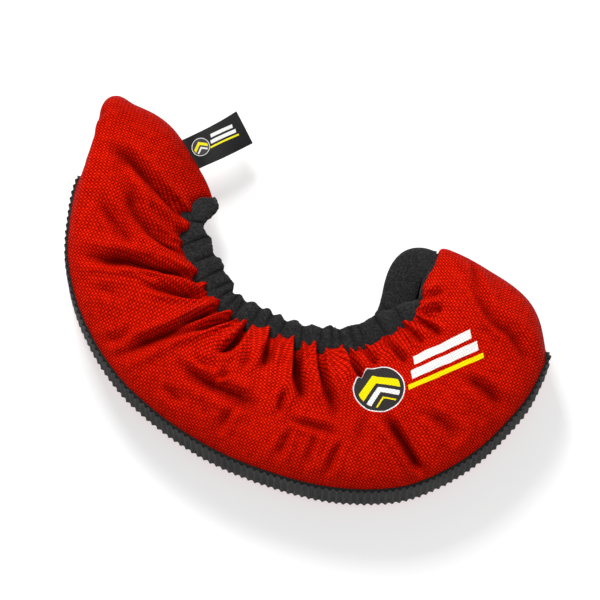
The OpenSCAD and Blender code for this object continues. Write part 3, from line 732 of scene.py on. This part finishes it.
def mat_label():
    m, nt, bs = new_mat("woven_label")
    g = G(nt)
    s, t, _ = g.uv("fabric")
    x = g.m("MULTIPLY", s, 1000.0)
    y = g.m("MULTIPLY", t, 1000.0)
    rib = g.m("ABSOLUTE", g.m("SINE", g.m("MULTIPLY", y, math.pi / 0.34)))
    rib2 = g.m("ABSOLUTE", g.m("SINE", g.m("MULTIPLY", x, math.pi / 0.5)))
    h = g.m("MULTIPLY", rib, g.m("MULTIPLY_ADD", rib2, 0.4, 0.6))
    ob = g.obj()
    n = g.noise(ob, 120, 3)
    col = g.ramp(g.m("ADD", g.m("MULTIPLY", h, 0.6), g.m("MULTIPLY", n, 0.4)), [(0.15, (0.004, 0.004, 0.0045)), (0.8, (0.010, 0.010, 0.0115))])
    ink = g.m("MULTIPLY_ADD", h, 0.4, 0.6)
    def box(cx, cy, hw, hh_, slant=0.0, soft=0.1):
        xs = g.m("SUBTRACT", g.m("SUBTRACT", x, cx), g.m("MULTIPLY", g.m("SUBTRACT", y, cy), slant))
        ax = g.m("DIVIDE", g.m("SUBTRACT", hw, g.m("ABSOLUTE", xs)), soft, clamp=True)
        ay = g.m("DIVIDE", g.m("SUBTRACT", hh_, g.m("ABSOLUTE", g.m("SUBTRACT", y, cy))), soft, clamp=True)
        return g.m("MULTIPLY", ax, ay)
    def disc(cx, cy, r, soft=0.1):
        d = g.m("SQRT", g.m("ADD", g.m("POWER", g.m("ABSOLUTE", g.m("SUBTRACT", x, cx)), 2.0), g.m("POWER", g.m("ABSOLUTE", g.m("SUBTRACT", y, cy)), 2.0)))
        return g.m("DIVIDE", g.m("SUBTRACT", r, d), soft, clamp=True)
    def paint(c, mask, colr):
        shade = g.mix(ink, tuple(q * 0.4 for q in colr), colr)
        return g.mix(g.m("MULTIPLY", mask, 0.95), c, shade)
    white, yellow, black = (0.80, 0.80, 0.79), (0.85, 0.74, 0.008), (0.006, 0.006, 0.007)
    col = paint(col, disc(7.4, 0.2, 3.9), white)
    col = paint(col, disc(7.4, 0.2, 3.65), black)
    up = g.m("SUBTRACT", y, g.m("MULTIPLY", g.m("ABSOLUTE", g.m("SUBTRACT", x, 7.4)), -0.75))
    chev = g.m("MULTIPLY", g.m("DIVIDE", g.m("SUBTRACT", 0.8, g.m("ABSOLUTE", g.m("SUBTRACT", up, 1.9))), 0.08, clamp=True), disc(7.4, 0.2, 3.1))
    chev2 = g.m("MULTIPLY", g.m("DIVIDE", g.m("SUBTRACT", 0.5, g.m("ABSOLUTE", g.m("SUBTRACT", up, -0.2))), 0.08, clamp=True), disc(7.4, 0.2, 3.1))
    col = paint(col, chev, yellow)
    col = paint(col, chev2, white)
    col = paint(col, box(18.4, 2.4, 5.2, 0.8, 0.24), white)
    col = paint(col, box(18.0, 0.0, 6.0, 0.8, 0.24), white)
    col = paint(col, box(17.6, -2.0, 6.8, 0.45, 0.24), yellow)
    nt.links.new(col, bs.inputs["Base Color"])
    bs.inputs["Roughness"].default_value = 0.55
    bs.inputs["Specular IOR Level"].default_value = 0.15
    nt.links.new(g.bump(h, 0.5, 0.0001), bs.inputs["Normal"])
    return m


RED_P, RED, TERRY, RUBBER = mat_red(True), mat_red(False), mat_terry(), mat_rubber()
LINING = mat_terry("black_lining_knit", (0.006, 0.006, 0.0065), (0.024, 0.0245, 0.025))
INSERT = mat_cloth_simple("stiffener_sheet", (0.03, 0.03, 0.03), (0.09, 0.09, 0.09), 1.2, 0.5)
ELASTIC = mat_cloth_simple("braided_elastic", (0.35, 0.35, 0.33), (0.75, 0.74, 0.7), 0.7, 0.7, True)
TAPE = mat_tape()
LABEL = mat_label()

HT = sole(0.29) - sole(0.28); HT /= np.linalg.norm(HT)
TT = sole(0.695) - sole(0.685); TT /= np.linalg.norm(TT)


def blend_halves(a, b):
    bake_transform(a)
    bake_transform(b)


def cloth_pair(name, node, A, B, up, mat, uv, uv2=None, attr=None, declare=None, i_mid=None):
    i_mid = I_MID if i_mid is None else i_mid
    a = shell(name + "_heel_half", A, B, up, uv, uv2, attr, 0, i_mid + 1)
    b = shell(name + "_toe_half", A, B, up, uv, uv2, attr, i_mid, None)
    for o in (a, b):
        o.data.materials.append(mat)
    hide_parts(node + "_heel", node + "_mid")
    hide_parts(node + "_toe", node + "_mid")
    blend_halves(a, b)
    if declare:
        declare(a, 0)
        declare(b, 1)
    return a, b


def offset(P, N, d):
    return P - N * d


# Outer panels, 0.8 mm cloth
# painted shade: the fold attribute darkens the red cloth in the fold valleys, the deeper the valley the darker
painted_crease_shade_near = np.clip((-h_near - 0.4) / 3.5, 0, 1) ** 1.1
painted_crease_shade_far = np.clip((-hfar - 0.3) / 2.5, 0, 1)
# painted shade: the edge attribute darkens the red cloth where it faces sideways, and near the heel and toe seams
painted_edge_shade_near, painted_edge_shade_far = [sstep(0.35, 0.95, 1 - np.abs(N_[..., 2])) for N_ in (Nn, Nf)]
painted_edge_shade_near = np.maximum(painted_edge_shade_near, 0.75 * (1 - sstep(0.0, 0.075, UU)) + 0.45 * (1 - sstep(0.0, 0.06, 1 - UU)))
Qn, Qf, Qp = cloth_xy(Pn, slip), cloth_xy(Pf), cloth_xy(Pn, 0.15 * slip)
wob_a = np.radians(5) * vnoise(Qn[..., 0] / 45, Qn[..., 1] / 45, 41, 2)
Qw = Qn + np.stack([-wob_a * Qn[..., 1], wob_a * Qn[..., 0]], -1) * 0.35
uvn, uvf = turn(Qw, WEAVE), turn(Qf, WEAVE)
ang = math.radians(23)
cx, cy = 30.0, -42.4
near_c = np.unravel_index(np.argmin((Pn[..., 0] - cx) ** 2 + (Pn[..., 1] - cy) ** 2), Pn.shape[:2])
Qn0 = Qp[near_c] + np.array([cx, cy]) - Pn[near_c][:2]
dx, dy = Qp[..., 0] - Qn0[0], Qp[..., 1] - Qn0[1]
uv_print = np.stack([dx * math.cos(ang) + dy * math.sin(ang), -dx * math.sin(ang) + dy * math.cos(ang)], -1)
inner_n = offset(Pn2, Nn, 0.8)
inner_n[..., 2] = np.maximum(inner_n[..., 2], MIDZ + 0.2)
inner_f = offset(Pf2, Nf, 0.8)
inner_f[..., 2] = np.minimum(inner_f[..., 2], MIDZ - 0.2)


def half_area(A, i0, i1):
    a = A[i0:i1] * MM
    x = np.cross(a[1:, :-1] - a[:-1, :-1], a[:-1, 1:] - a[:-1, :-1])
    return float(np.linalg.norm(x, axis=-1).sum())


def sheet_decl(A):
    def f(o, k):
        i0, i1 = (0, I_MID + 1) if k == 0 else (I_MID, A.shape[0])
    return f


cloth_pair("panel_upper", "outer_near", Pn2, inner_n, +1, RED_P, uvn, uv_print, {"fold": painted_crease_shade_near, "edge": painted_edge_shade_near}, sheet_decl(Pn2))
cloth_pair("panel_lower", "outer_far", Pf2, inner_f, -1, RED, uvf, None, {"fold": painted_crease_shade_far, "edge": painted_edge_shade_far}, sheet_decl(Pf2))
print("areas", [half_area(Pn2, 0, I_MID + 1), half_area(Pn2, I_MID, NU), half_area(Pf2, 0, I_MID + 1), half_area(Pf2, I_MID, NU)])

# Linings follow the outer cloth 1.1 mm inside it, coarser grid
LS = (slice(None, None, 2), slice(None, None, 2))
iu = np.unique(np.concatenate([np.arange(0, NU, 2), [I_MID, NU - 1]]))
iv = np.unique(np.concatenate([np.arange(0, NV - 5, 2), [NV - 6]]))
gi = np.ix_(iu, iv)
I_MID_L = int(np.where(iu == I_MID)[0][0])
z0 = np.zeros((len(iu), len(iv)))
for nm, node, P, N, up, sgn in (("lining_upper", "lining_near", Pn2, Nn, +1, +1), ("lining_lower", "lining_far", Pf2, Nf, -1, -1)):
    A = offset(P[gi], N[gi], 1.1)
    B = offset(P[gi], N[gi], 2.5)
    for Q in (A, B):
        Q[..., 2] = np.maximum(Q[..., 2], MIDZ + 0.15) if sgn > 0 else np.minimum(Q[..., 2], MIDZ - 0.15)
    def dec(o, k, A=A):
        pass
    S, T = uvn if sgn > 0 else uvf
    cloth_pair(nm, node, A, B, up, LINING, (S[gi], T[gi]), None, {"fold": z0}, dec, I_MID_L)

# ------------------------------------------------------------------ walking strip
n_rib = 108
per = 8
ns = n_rib * per + 1
us = np.linspace(0, 1, ns)
IM_S = int(round(U_MID * (ns - 1) / per)) * per
ph = (np.arange(ns) % per) / per
depth = 1.15 * (0.5 - 0.5 * np.cos(2 * np.pi * ph)) ** 0.8       # 0 on a crest
hw = 5.35 + 8.9 * end_w(us)                                       # fills the opening between the panels
nz = 27
zz = np.linspace(-1, 1, nz)
zz = np.sign(zz) * (1 - (1 - np.abs(zz)) ** 1.25)
sp, sl = sole(us), sole.left(us)
edge = np.clip((1 - np.abs(zz)) / 0.07, 0, 1)
edge_in = 0.9 * (1 - np.sqrt(1 - (1 - edge) ** 2))                 # rounded edges
wob = 0.12 * vnoise(us[:, None] * 60, zz[None] * 3 + 0 * us[:, None], 31, 2)
d_out = depth[:, None] * (0.35 + 0.65 * edge[None]) + edge_in[None] + wob - 0.8
So = np.concatenate([sp[:, None] + sl[:, None] * d_out[..., None], (MIDZ + hw[:, None] * zz[None])[..., None]], -1)
d_in = np.full((ns, nz), 3.1)
Si = np.concatenate([sp[:, None] + sl[:, None] * d_in[..., None], (MIDZ + hw[:, None] * zz[None])[..., None]], -1)
s_s = np.repeat(us[:, None] * L, nz, 1)
t_s = np.repeat((zz * 14)[None], ns, 0)
crest = np.repeat((1 - depth / 1.15)[:, None], nz, 1)
cloth_pair("sole_strip", "walking_strip", So, Si, -1, RUBBER, (s_s, t_s), None, {"crest": crest}, None, IM_S)

# Stiffener and sole pad behind it, inside the guard
n2 = 161
u2 = np.linspace(0.06, 0.94, n2)
IM2 = int(np.argmin(np.abs(u2 - U_MID)))
for nm, node, d0, d1, mat, slot, pad in (("stiffener", "sole_insert", 3.5, 4.9, INSERT, "stiffener", False), ("sole_pad", "sole_lining", 5.3, 7.1, TERRY, "terry", True)):
    m2 = 13
    z2 = MIDZ + 12.6 * np.linspace(-1, 1, m2)
    bulge = 0.5 * (1 - np.linspace(-1, 1, m2) ** 4) if pad else np.zeros(m2)
    p2, l2 = sole(u2), sole.left(u2)
    A = np.concatenate([p2[:, None] + l2[:, None] * np.full((n2, m2, 1), d0), np.broadcast_to(z2[None, :, None], (n2, m2, 1))], -1)
    B = np.concatenate([p2[:, None] + l2[:, None] * (d1 - 0.4 + bulge)[None, :, None], np.broadcast_to(z2[None, :, None], (n2, m2, 1))], -1)
    S, T = np.repeat(u2[:, None] * L, m2, 1), np.repeat((z2 - 20)[None], n2, 0)
    def dec(o, k, pad=pad):
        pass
    cloth_pair(nm, node, A, B, -1, mat, (S, T), None, {"fold": np.zeros((n2, m2))}, dec, IM2)

# ------------------------------------------------------------------ rim bands
def band_rings(edge_c, inner_c, z_of, u, notches, seed, th=4.2, smooth_from=2.0, wide=0.0, thin_from=2.0, crease_amp=1.0):
    """Puckered roll of terry between the panel's edge and the mouth contour."""
    m = 34
    a = np.linspace(0, 2 * np.pi, m, endpoint=False)
    e, i = edge_c(u), inner_c(u)
    d = i - e
    wdt = np.linalg.norm(d, axis=1)
    d = d / np.maximum(wdt, 0.3)[:, None]
    k = np.hanning(25); k /= k.sum()
    d = np.stack([np.convolve(np.pad(d[:, j], 12, mode="edge"), k, "valid") for j in (0, 1)], 1)
    d /= np.linalg.norm(d, axis=1, keepdims=True)
    ca, sa = np.cos(a), np.sin(a)
    X = np.sign(ca) * np.abs(ca) ** 0.8                    # -1 at the panel, +1 at the mouth
    Z = np.sign(sa) * np.abs(sa) ** 0.85
    calm = 1 - sstep(smooth_from - 0.05, smooth_from + 0.05, u)[:, None]
    overlap = 2.8 + wide * sstep(smooth_from - 0.06, smooth_from + 0.04, u)
    uu = u[:, None] + 0.0035 * X[None] + 0.0022 * np.sin(u * 61)[:, None] * X[None]
    nu = np.array(notches)
    dn = np.min(np.abs(uu[..., None] - nu), axis=-1) * inner_c.len      # mm from the nearest crease
    soft = np.exp(-(dn / 0.85) ** 1.3)
    mouth = sstep(-0.9, 0.7, X)[None]
    fine = vnoise(uu * edge_c.len / 2.1, 0.8 * X[None] + 0 * uu + 7, seed + 1, 2)
    fine2 = vnoise(uu * edge_c.len / 0.9, 1.2 * X[None] + 0 * uu + 3, seed + 2, 2)
    bulk = vnoise(uu * edge_c.len / 6.0, 0.6 * X[None] + 0 * uu, seed + 5, 2)
    half = (wdt + overlap) / 2
    cen = (wdt - overlap) / 2
    x = cen[:, None] + half[:, None] * X[None]
    x = x + calm * np.clip(X[None], 0, 1) * (0.35 * fine + 0.18 * fine2)
    taper = np.sqrt(np.clip(np.minimum(u - u[0], u[-1] - u) / 0.02, 0, 1)) * 0.7 + 0.3
    thin = 1 - 0.72 * sstep(thin_from - 0.05, thin_from + 0.03, u)
    zt = th / 2 * (1.0 + calm * (0.10 * bulk + 0.10 * fine + 0.05 * fine2)) - calm * crease_amp * soft * (0.35 + 0.75 * mouth)
    zt = zt * (1 + (1 - calm) * (0.22 * bulk + 0.07 * fine))
    zt = np.maximum(zt, 0.35) * (taper * thin)[:, None]
    z = z_of(u)[:, None] + zt * Z[None]
    P = np.stack([e[:, None, 0] + d[:, None, 0] * x, e[:, None, 1] + d[:, None, 1] * x, z], -1)
    # painted shade in the band's creases and dips, used as the fold attribute
    crease = calm * np.clip(soft * (0.25 + 0.75 * mouth) * 0.9 + 0.35 * np.clip(-fine - 0.25, 0, 1), 0, 1)
    return P, crease, (np.repeat(u[:, None] * edge_c.len, m, 1), np.repeat((a * th / 2)[None], len(u), 0))


ub = np.linspace(0.0, 1.0, 721)
IMB = int(np.argmin(np.abs(ub - U_MID)))


def z_near_band(u):
    return 22.7 + (23.5 - 22.7) * end_w(u, 0.1, 2)


def z_far_band(u):
    return 17.3 + (10.2 - 17.3) * end_w(u, 0.1, 2)


class Off:
    def __init__(self, c, d):
        self.c, self.d, self.len = c, d, c.len

    def __call__(self, u):
        p = self.c(u) + self.c.left(u, 0.02) * self.d
        return p


class Paired:
    """Inner contour matched to the panel edge station by station."""
    def __init__(self, edge_c, inner):
        self.len = inner.len
        k = np.linspace(0, 1, 400)
        e = edge_c(k)
        # nearest point on the inner contour, kept in order and smoothed
        q = inner(np.linspace(0, 1, 1600))
        j = np.array([np.argmin(np.hypot(*(q - p).T)) for p in e]) / 1599.0
        j = np.maximum.accumulate(j)
        base = k
        j = 0.7 * j + 0.3 * base
        w = np.hanning(61); w /= w.sum()
        pad = np.pad(j, (30, 30), mode="reflect", reflect_type="odd")
        j = np.convolve(pad, w, "valid")
        j = (j - j[0]) / (j[-1] - j[0])
        self.k, self.j, self.inner = k, j, inner

    def __call__(self, u):
        return self.inner(np.interp(u, self.k, self.j))


near_in = Paired(rim, band)
far_in = Paired(lowrim, farband)
kk = np.linspace(0, 1, 2001)
near_k = near_in(kk)
NU_N = [float(kk[np.argmin(np.hypot(*(near_k - np.array(q)).T))]) for q in NOTCH]
rng_ = np.random.RandomState(3)
NU_N = sorted(NU_N + [0.5 * (a_ + b_) + 0.004 for a_, b_ in zip(NU_N[1:-3], NU_N[2:-2]) if b_ - a_ > 0.055])
NU_F = list(np.linspace(0.03, 0.80, 19) + 0.008 * rng_.rand(19))
for nm, node, ec, ic, zf, par in (
        ("rim_band_upper", "rim_binding_near", rim, near_in, z_near_band, dict(notches=NU_N, seed=5, th=4.6, thin_from=0.92)),
        ("rim_band_lower", "rim_binding_far", lowrim, far_in, z_far_band, dict(notches=NU_F, seed=12, th=4.4, smooth_from=0.80, wide=5.0))):
    R, crease, uvb = band_rings(ec, ic, zf, ub, **par)
    a = tube(nm + "_heel_half", R, uvb, {"fold": crease}, 0, IMB + 1)
    b = tube(nm + "_toe_half", R, uvb, {"fold": crease}, IMB, None)
    for o in (a, b):
        o.data.materials.append(TERRY)
    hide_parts(node + "_heel", node + "_mid")
    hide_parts(node + "_toe", node + "_mid")
    blend_halves(a, b)
    # the elastic inside, a flat braid
    ue = np.linspace(0.05, 0.90 if nm == "rim_band_upper" else 0.95, 241)
    IME = int(np.argmin(np.abs(ue - U_MID)))
    mm_ = 7
    xx = np.linspace(-2.4, 2.4, mm_)
    e, i = ec(ue), ic(ue)
    d = (i - e); wd = np.linalg.norm(d, axis=1); d /= wd[:, None]
    c = e + d * (wd * 0.5)[:, None]
    zz_ = zf(ue)
    we = np.minimum(2.4, 0.3 * wd) / 2.4
    te = 0.5 * (1 - 0.6 * sstep(0.86, 0.95, ue)) * np.clip(wd / 4, 0.3, 1)
    base = c[:, None] + d[:, None] * (xx[None] * we[:, None])[..., None]
    A = np.concatenate([base, np.broadcast_to((zz_ + te)[:, None, None], (241, mm_, 1))], -1)
    B = np.concatenate([base, np.broadcast_to((zz_ - te)[:, None, None], (241, mm_, 1))], -1)
    S, T = np.repeat(ue[:, None] * ec.len, mm_, 1), np.repeat(xx[None], 241, 0)
    cloth_pair(nm.replace("rim_band", "rim_elastic"), node.replace("binding", "elastic"), A, B, +1, ELASTIC, (S, T), None, None, None, IME)

# ------------------------------------------------------------------ label
nl, ml = 61, 25
LL, LW = 27.6, 14.2
lu = np.linspace(0, 1, nl)
lv = np.linspace(-1, 1, ml)
ax = np.array([0.887, 0.4617]); ay = np.array([-0.4617, 0.887])
o0 = np.array([-51.2, 61.9])


RR, LT = 0.42, 0.3
arc = np.linspace(np.pi / 2, -np.pi / 2, 13)
Xc = np.concatenate([np.linspace(0, LL, nl)[:-1], LL + RR * np.cos(arc), np.linspace(LL, 0, nl)[1:]])
Zc = np.concatenate([np.full(nl - 1, RR), RR * np.sin(arc), np.full(nl - 1, -RR)])
Nx = np.concatenate([np.zeros(nl - 1), np.cos(arc), np.zeros(nl - 1)])
Nz = np.concatenate([np.ones(nl - 1), np.sin(arc), -np.ones(nl - 1)])


def label_surface(off):
    """The ribbon runs out, turns over at the free end and comes back under itself."""
    X_, V_ = np.meshgrid(Xc + Nx * off, lv, indexing="ij")
    U_ = np.clip(X_ / LL, 0, 1.02)
    Z0 = np.repeat((Zc + Nz * off)[:, None], len(lv), 1)
    lift = 1.5 * np.sin(np.pi * U_ * 1.1) + 1.1 * U_ * V_ * U_ - 0.5 * V_ ** 2 * U_
    open_ = 1 + 0.9 * np.sin(np.pi * U_) ** 2
    Y = V_ * LW / 2 * (1 + 0.05 * U_ - 0.03 * np.sin(np.pi * U_)) - 0.9 * np.sin(np.pi * U_)
    Z = MIDZ + lift * sstep(0, 0.25, U_) + Z0 * open_
    P = np.stack([o0[0] + ax[0] * X_ + ay[0] * Y, o0[1] + ax[1] * X_ + ay[1] * Y, Z], -1)
    return P, X_, Y


Lu, LX, LY = label_surface(LT / 2)
Ll, _, _ = label_surface(-LT / 2)
lab = shell("label_tag_ribbon", Lu, Ll, +1, (LX, LY), None, None)
lab.data.materials.append(LABEL)
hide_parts("label_tag")
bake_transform(lab)

# ------------------------------------------------------------------ CAD seam tapes keep their shape
for nname in ("heel_seam_tape", "toe_seam_tape"):
    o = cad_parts[nname]
    o.data.materials.clear() if len(o.data.materials) == 0 else None
    if len(o.material_slots) == 0:
        o.data.materials.append(TAPE)
    for sl_ in o.material_slots:
        sl_.material = TAPE

# ------------------------------------------------------------------ stage
fm, fnt, fbs = new_mat("pale_floor")
gf = G(fnt)
nfl = gf.noise(gf.obj(), 3.0, 2)
fnt.links.new(gf.ramp(nfl, [(0.0, (0.52, 0.52, 0.52)), (1.0, (0.54, 0.54, 0.54))]), fbs.inputs["Base Color"])
fbs.inputs["Roughness"].default_value = 0.9
fbs.inputs["Specular IOR Level"].default_value = 0.0
fbs.inputs["Emission Color"].default_value = (1, 1, 1, 1)
fbs.inputs["Emission Strength"].default_value = 0.55
bpy.ops.mesh.primitive_plane_add(size=6, location=(0, 0, -0.0002))
floor = bpy.context.object
floor.name = "floor"
floor.data.materials.append(fm)

scene = bpy.context.scene
w = scene.world or bpy.data.worlds.new("World")
scene.world = w
w.use_nodes = True
bg = w.node_tree.nodes.get("Background") or w.node_tree.nodes.new("ShaderNodeBackground")
bg.inputs[0].default_value = (1, 1, 1, 1)
bg.inputs[1].default_value = 0.42


def area(name, loc, target, size, power, size_y=None):
    ld = bpy.data.lights.new(name, "AREA")
    ld.shape = "RECTANGLE"
    ld.size = size
    ld.size_y = size_y or size
    ld.energy = power
    o = bpy.data.objects.new(name, ld)
    scene.collection.objects.link(o)
    o.location = loc
    o.rotation_euler = (Vector(target) - Vector(loc)).to_track_quat("-Z", "Y").to_euler()
    return o


area("key", (-0.22, 0.62, 0.82), (0, 0, 0.02), 0.30, 11.5, 0.4)
area("fill", (0.25, -0.35, 1.3), (0, 0, 0.02), 0.9, 3.0)

cam_d = bpy.data.cameras.new("camera")
cam = bpy.data.objects.new("camera", cam_d)
scene.collection.objects.link(cam)
el = math.radians(77)
tgt = Vector((-2.8 * MM, -0.4 * MM, 20 * MM))
D = 2.2
cam.location = tgt + Vector((0, -math.cos(el), math.sin(el))) * D
cam.rotation_euler = (tgt - cam.location).to_track_quat("-Z", "Y").to_euler()
cam_d.sensor_width = 36
cam_d.lens = 36 * D / 0.252
cam_d.clip_end = 20
scene.camera = cam
scene.view_settings.view_transform = "Standard"
